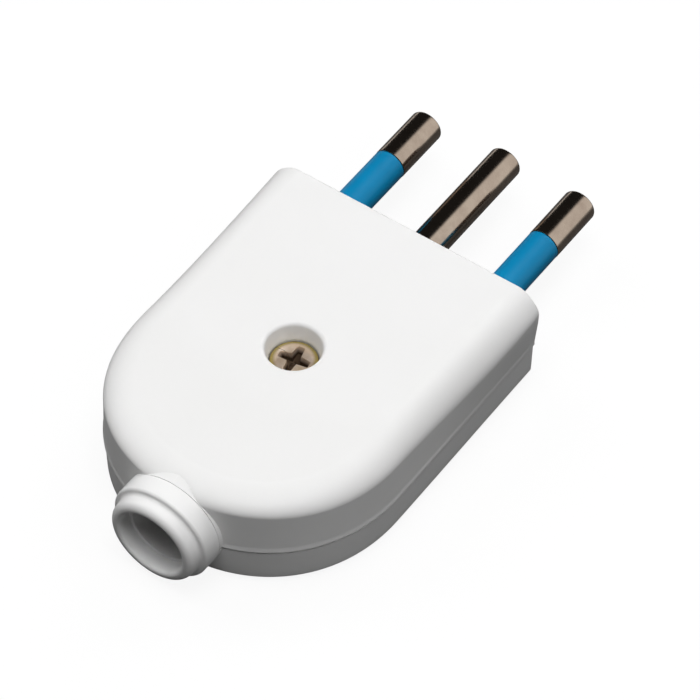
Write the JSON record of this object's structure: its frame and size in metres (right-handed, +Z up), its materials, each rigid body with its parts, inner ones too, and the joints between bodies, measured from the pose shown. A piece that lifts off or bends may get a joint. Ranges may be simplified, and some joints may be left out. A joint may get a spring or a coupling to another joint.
{
  "type": "grounded plug",
  "caption": "Flat white rewireable mains plug with round sleeved line pins, a bare earth pin between them, a screw well in the cover and a stepped cord collar.",
  "frame": {"origin": "on the flat base, straight under the axis of the housing screw", "axes": "+Y along the pins to their tips, +Z up out of the face with the screw well, +X to the right seen from the cord end"},
  "size_m": [0.0442, 0.0835, 0.0165],
  "materials": {
    "white_plastic": "satin moulded plastic",
    "blue_plastic": "satin insulating sleeve",
    "nickel_plate": "polished nickel plate on turned brass",
    "yellow_zinc": "yellow passivated zinc plate",
    "brass": "turned brass",
    "zinc_plate": "zinc plate",
    "clamp_plastic": "moulded plastic"
  },
  "bodies": {
    "root": {"lower_shell": "white_plastic", "upper_shell": "white_plastic", "cord_collar": "white_plastic", "housing_screw": "yellow_zinc", "housing_insert": "brass", "live_pin": "nickel_plate", "neutral_pin": "nickel_plate", "earth_pin": "nickel_plate", "live_pin_sleeve": "blue_plastic", "neutral_pin_sleeve": "blue_plastic", "live_terminal_screw": "zinc_plate", "neutral_terminal_screw": "zinc_plate", "earth_terminal_screw": "zinc_plate", "cord_clamp": "clamp_plastic", "clamp_screw_left": "zinc_plate", "clamp_screw_right": "zinc_plate"}
  },
  "joints": []
}
